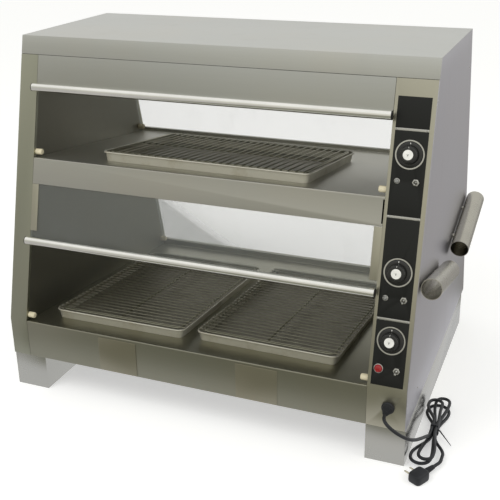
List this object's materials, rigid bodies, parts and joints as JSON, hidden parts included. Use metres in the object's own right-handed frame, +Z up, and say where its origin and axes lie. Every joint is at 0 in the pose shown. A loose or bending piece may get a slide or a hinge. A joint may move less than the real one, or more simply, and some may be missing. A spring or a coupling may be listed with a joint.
{
  "type": "pass-through heated display case",
  "caption": "Two-tier steel counter case that keeps trays of baked food warm, open at the front, with hinged clear flaps behind and a control column at one side.",
  "frame": {"origin": "on the floor, at the middle of the base of the bounding box of everything but the cord", "axes": "+X along the width, towards the control column and the tong tubes; the open front faces -Y; +Z up"},
  "size_m": [1.2246, 0.9249, 0.972],
  "materials": {
    "body_steel": "satin",
    "inner_steel": "satin",
    "reflector_steel": "bright",
    "polished_steel": "polished",
    "rail_aluminium": "satin",
    "clear_glass": "clear",
    "clear_pane": "clear",
    "element_steel": "matt",
    "lamp_glass": "frosted",
    "cream_rubber": "matt",
    "tray_aluminium": "satin",
    "rack_wire": "bright",
    "black_plate": "satin",
    "indicator_lens": "gloss",
    "red_lens": "gloss",
    "control_plastic": "matt",
    "black_plastic": "satin",
    "cord_rubber": "satin"
  },
  "bodies": {
    "cabinet": {"top_cover": "body_steel", "left_side_panel": "body_steel", "right_side_panel": "body_steel", "control_column": "body_steel", "front_header": "body_steel", "rear_header": "body_steel", "left_foot": "body_steel", "right_foot": "body_steel", "fascia_cover_plates": "body_steel", "screen_strips": "body_steel", "shelf_deck": "body_steel", "base_deck": "body_steel", "left_inner_liner": "inner_steel", "right_inner_liner": "inner_steel", "bottom_pan": "inner_steel", "upper_reflector": "reflector_steel", "shelf_reflector": "reflector_steel", "upper_bar": "polished_steel", "lower_bar": "polished_steel", "front_tong_tube": "polished_steel", "rear_tong_tube": "polished_steel", "divider_strips": "polished_steel", "panel_screws": "polished_steel", "bar_pillars": "polished_steel", "flap_pivot_pins": "polished_steel", "panel_bezels": "polished_steel", "front_screen": "clear_glass", "heating_elements": "element_steel", "lamp_tubes": "lamp_glass", "door_bumpers": "cream_rubber", "title_plate": "black_plate", "upper_control_plate": "black_plate", "lower_control_plate": "black_plate", "power_control_plate": "black_plate", "indicator_lamps": "indicator_lens", "power_lamp": "red_lens", "heat_controls": "control_plastic", "toggle_switches": "control_plastic", "bar_end_plugs": "black_plastic", "cord_gland": "black_plastic", "plug": "black_plastic", "cord_lead": "cord_rubber", "cord_hank": "cord_rubber", "cord_tie": "cord_rubber"},
    "upper_knob": {"upper_knob": "black_plastic"},
    "lower_knob": {"lower_knob": "black_plastic"},
    "base_knob": {"base_knob": "black_plastic"},
    "upper_light_lever": {"upper_light_lever": "polished_steel"},
    "lower_light_lever": {"lower_light_lever": "polished_steel"},
    "power_lever": {"power_lever": "polished_steel"},
    "upper_flap": {"upper_flap_rail": "rail_aluminium", "upper_flap_pane": "clear_pane"},
    "lower_flap": {"lower_flap_rail": "rail_aluminium", "lower_flap_pane": "clear_pane"},
    "upper_tray": {"upper_tray": "tray_aluminium"},
    "upper_rack": {"upper_rack": "rack_wire"},
    "left_tray": {"left_tray": "tray_aluminium"},
    "left_rack": {"left_rack": "rack_wire"},
    "right_tray": {"right_tray": "tray_aluminium"},
    "right_rack": {"right_rack": "rack_wire"}
  },
  "joints": [
    {"name": "upper_knob_turn", "type": "hinge", "parent": "cabinet", "child": "upper_knob", "pos_m": [0.4873, -0.28388, 0.755], "axis": [0, -0.9695, 0.2451], "range_deg": [0, 300]},
    {"name": "lower_knob_turn", "type": "hinge", "parent": "cabinet", "child": "lower_knob", "pos_m": [0.4873, -0.3519, 0.486], "axis": [0, -0.9695, 0.2451], "range_deg": [0, 300]},
    {"name": "base_knob_turn", "type": "hinge", "parent": "cabinet", "child": "base_knob", "pos_m": [0.4873, -0.39236, 0.326], "axis": [0, -0.9695, 0.2451], "range_deg": [0, 300]},
    {"name": "upper_light_lever_flip", "type": "hinge", "parent": "cabinet", "child": "upper_light_lever", "pos_m": [0.5073, -0.30367, 0.6951], "axis": [-1, 0, 0], "range_deg": [0, 28]},
    {"name": "lower_light_lever_flip", "type": "hinge", "parent": "cabinet", "child": "lower_light_lever", "pos_m": [0.5073, -0.37194, 0.4251], "axis": [-1, 0, 0], "range_deg": [0, 28]},
    {"name": "power_lever_flip", "type": "hinge", "parent": "cabinet", "child": "power_lever", "pos_m": [0.5073, -0.41417, 0.2581], "axis": [-1, 0, 0], "range_deg": [0, 28]},
    {"name": "upper_flap_swing", "type": "hinge", "parent": "cabinet", "child": "upper_flap", "pos_m": [0, 0.2294, 0.83759], "axis": [1, 0, 0], "range_deg": [0, 75]},
    {"name": "lower_flap_swing", "type": "hinge", "parent": "cabinet", "child": "lower_flap", "pos_m": [0, 0.31892, 0.48359], "axis": [1, 0, 0], "range_deg": [0, 75]},
    {"name": "upper_tray_slide", "type": "slide", "parent": "cabinet", "child": "upper_tray", "axis": [0, -0.9914, 0.1305], "range_m": [0, 0.25]},
    {"name": "upper_rack_lift", "type": "slide", "parent": "upper_tray", "child": "upper_rack", "axis": [0, 0.1305, 0.9914], "range_m": [0, 0.06]},
    {"name": "left_tray_slide", "type": "slide", "parent": "cabinet", "child": "left_tray", "axis": [0, -0.9944, 0.1054], "range_m": [0, 0.25]},
    {"name": "left_rack_lift", "type": "slide", "parent": "left_tray", "child": "left_rack", "axis": [0, 0.1054, 0.9944], "range_m": [0, 0.06]},
    {"name": "right_tray_slide", "type": "slide", "parent": "cabinet", "child": "right_tray", "axis": [0, -0.9944, 0.1054], "range_m": [0, 0.25]},
    {"name": "right_rack_lift", "type": "slide", "parent": "right_tray", "child": "right_rack", "axis": [0, 0.1054, 0.9944], "range_m": [0, 0.06]}
  ]
}
